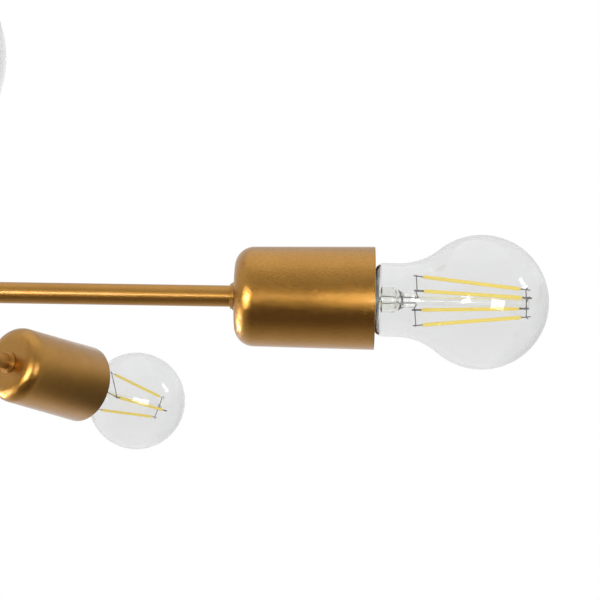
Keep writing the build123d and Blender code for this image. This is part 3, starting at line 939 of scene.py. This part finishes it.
# %% Bulb caps
cap_tip, cap_rim, cap_radius = reach("bulb_cap")
cap_wall = 0.4 * MM
thread_pitch = 3.63 * MM
thread_depth = 0.95 * MM
cone_end = cap_tip + 5 * MM
thread_step = thread_pitch / 10
shell_start = cone_end + MM
shell_lip = 9.2 * MM
shell_outline = (
    fine_wall(shell_start, cap_rim, cap_radius, thread_step)
    + fine_wall(cap_rim, shell_start, cap_radius - cap_wall, thread_step)
    + [
        (cone_end + 0.5 * MM, cap_radius - 2.2 * MM),
        (cone_end + 0.2 * MM, shell_lip),
        (cone_end - 0.2 * MM, shell_lip),
        (cone_end + 0.1 * MM, cap_radius - 2.0 * MM),
    ]
)
shell_mesh = through_tree(
    lathe("cap_shell", shell_outline, 64),
    thread,
    start=shell_start,
    end=cap_rim - 3.5 * MM,
    pitch=thread_pitch,
    depth=thread_depth,
    finish=cap_metal,
)
insulator_mesh = lathe(
    "cap_insulator",
    rounded(
        [
            (cap_tip + 1.2 * MM, 0, 0),
            (cap_tip + 1.2 * MM, 4.6 * MM, 0.5 * MM),
            (cone_end, 9.9 * MM, 0.6 * MM),
            (cone_end + 0.15 * MM, 9.1 * MM, 0),
            (cone_end + 0.15 * MM, 0, 0),
        ]
    ),
    64,
)
dome_height, dome_radius = 1.2 * MM, 4.7 * MM
dome = [
    (cap_tip + dome_height * (1 - sin(radians(a))), dome_radius * cos(radians(a))) for a in range(0, 90, 10)
]
contact_mesh = lathe(
    "cap_contact", [(cap_tip + 1.3 * MM, 0), (cap_tip + 1.3 * MM, 4.5 * MM)] + dome + [(cap_tip, 0)], 48
)
for number, place in bulb_places.items():
    body, stands_for = f"bulb_{number}", f"bulb_cap_{number}"
    piece(f"cap_shell_{number}", shell_mesh, place, body, "cap_metal", None, stands_for)
    piece(f"cap_insulator_{number}", insulator_mesh, place, body, "black_plastic", black_plastic, stands_for)
    piece(f"cap_contact_{number}", contact_mesh, place, body, "cap_metal", solder, stands_for)
print("a cap's thread rises", round(thread_pitch / MM, 2), "mm a turn")

# %% [markdown]
# ## Lampholders
#
# The lampholder is a black moulding that fills most of the cup. Grip ribs run round its open end, and inside sit
# the threaded metal shell and the sprung contact that the bulb's tip presses on.

# %% Lampholders
holder_back, holder_mouth, holder_radius = reach("lampholder")
body_radius = holder_radius - 0.6 * MM
throat_radius = 8.5 * MM
well_radius = 13.95 * MM
chamber_radius = 13 * MM
contact_height = cap_tip - 0.3 * MM
well_floor = contact_height - 3 * MM
holder_outline = rounded(
    [
        (holder_back, spigot_hole, 0),
        (holder_back, throat_radius, 0.5 * MM),
        (holder_back + 5 * MM, throat_radius, 1.0 * MM),
        (holder_back + 13 * MM, body_radius, 2.0 * MM),
        (holder_mouth - 14 * MM, body_radius, 0.2 * MM),
        (holder_mouth - 13.4 * MM, holder_radius, 0.2 * MM),
        (holder_mouth - 12.6 * MM, holder_radius, 0.2 * MM),
        (holder_mouth - 12 * MM, body_radius, 0.2 * MM),
        (holder_mouth, body_radius, 0.6 * MM),
        (holder_mouth, well_radius + MM, 0.3 * MM),
        (holder_mouth - MM, well_radius, 0.3 * MM),
        (well_floor, well_radius, 0),
        (well_floor, 0, 0),
        (well_floor - 2.5 * MM, 0, 0),
        (well_floor - 2.5 * MM, chamber_radius, 0.5 * MM),
        (holder_back + 10.5 * MM, chamber_radius, 0.5 * MM),
        (holder_back + 8 * MM, spigot_hole, 0),
    ]
)
holder_mesh = lathe("lampholder", holder_outline, 80)

rib_count = 30
rib_height = holder_radius - 0.62 * MM
rib_line = [(holder_mouth - 10.5 * MM, 0, rib_height), (holder_mouth - 2 * MM, 0, rib_height)]
shape = bmesh.new()
tube(shape, rib_line, 0.6 * MM)
rib_mesh = through_tree(
    closed_mesh("holder_ribs", shape), ring, copies=rib_count, first_turn=0.0, finish=black_plastic
)

socket_start, socket_end = well_floor + 0.6 * MM, well_floor + 18 * MM
socket_hole = 6.2 * MM
socket_outline = (
    fine_wall(socket_start, socket_end, well_radius - 0.05 * MM, thread_step)
    + fine_wall(socket_end, socket_start, well_radius - 0.4 * MM, thread_step)
    + [(well_floor + 0.5 * MM, socket_hole), (well_floor + 0.1 * MM, socket_hole), (well_floor + 0.1 * MM, 13.2 * MM)]
)
socket_mesh = through_tree(
    lathe("holder_socket", socket_outline, 64),
    thread,
    start=well_floor + MM,
    end=well_floor + 16 * MM,
    pitch=thread_pitch,
    depth=0.3 * MM,
    finish=cap_metal,
)
tongue_radius = 3 * MM
tongue_mesh = lathe(
    "holder_contact",
    rounded(
        [
            (well_floor + 0.05 * MM, 0, 0),
            (well_floor + 0.05 * MM, tongue_radius, 0),
            (contact_height, tongue_radius, 0.9 * MM),
            (contact_height, 0, 0),
        ]
    ),
    40,
)
for number, place in arm_places.items():
    body, stands_for = f"swing_arm_{number}", f"lampholder_{number}"
    piece(f"lampholder_body_{number}", holder_mesh, place, body, "black_plastic", black_plastic, stands_for)
    piece(f"lampholder_ribs_{number}", rib_mesh, place, body, "black_plastic", None, stands_for)
    piece(f"lampholder_socket_{number}", socket_mesh, place, body, "cap_metal", None, stands_for)
    piece(f"lampholder_contact_{number}", tongue_mesh, place, body, "cap_metal", brass, stands_for)


# %% [markdown]
# ## Column, hubs and ceiling end
#
# These pieces already have their true shape in the frame. A copy of each mesh has its doubles merged and its
# flat faces made whole, and a small bevel takes the sharpness off its edges, as paint and plating do.

# %% Softened copies
double_distance = 0.002 * MM
flat_angle = radians(0.5)
edge_angle = radians(30)


def softened(name, source, edge, body, slot, material):
    """A copy of a node's mesh with its edges rounded."""
    shape = bmesh.new()
    shape.from_mesh(frame["nodes"][source].data)
    bmesh.ops.remove_doubles(shape, verts=shape.verts, dist=double_distance)
    bmesh.ops.dissolve_limit(shape, angle_limit=flat_angle, verts=shape.verts, edges=shape.edges)
    thing = piece(name, closed_mesh(name, shape), Matrix.Identity(4), body, slot, material, source)
    bevel = thing.modifiers.new("soft_edges", "BEVEL")
    bevel.width = edge
    bevel.segments = 3
    bevel.limit_method = "ANGLE"
    bevel.angle_limit = edge_angle
    bevel.use_clamp_overlap = True
    bevel.harden_normals = True
    return thing


for number in arm_numbers:
    softened(f"gold_hub_{number}", f"hub_{number}", 0.4 * MM, f"swing_arm_{number}", "gold_paint", gold_column)
column_pieces = {
    "column": (0.05, "gold_paint", gold_column),
    "stack_washers": (0.1, "white_plastic", white_plastic),
    "column_head": (0.4, "gold_paint", gold_column),
    "column_foot": (0.4, "gold_paint", gold_column),
    "downrod": (0.1, "gold_paint", gold_column),
    "ceiling_bracket": (0.15, "zinc_steel", zinc),
    "bracket_nuts": (0.3, "zinc_steel", zinc),
    "terminal_block": (0.3, "white_plastic", white_plastic),
}
canopy_pieces = {
    "canopy": (0.25, "gold_paint", gold_column),
    "canopy_collar": (0.25, "gold_paint", gold_column),
    "collar_screw": (0.15, "zinc_steel", zinc),
}
for body, group in (("column_assembly", column_pieces), ("canopy_set", canopy_pieces)):
    for source, (edge, slot, material) in group.items():
        softened(f"fine_{source}", source, edge * MM, body, slot, material)
print(len(arm_numbers) + len(column_pieces) + len(canopy_pieces), "softened pieces")
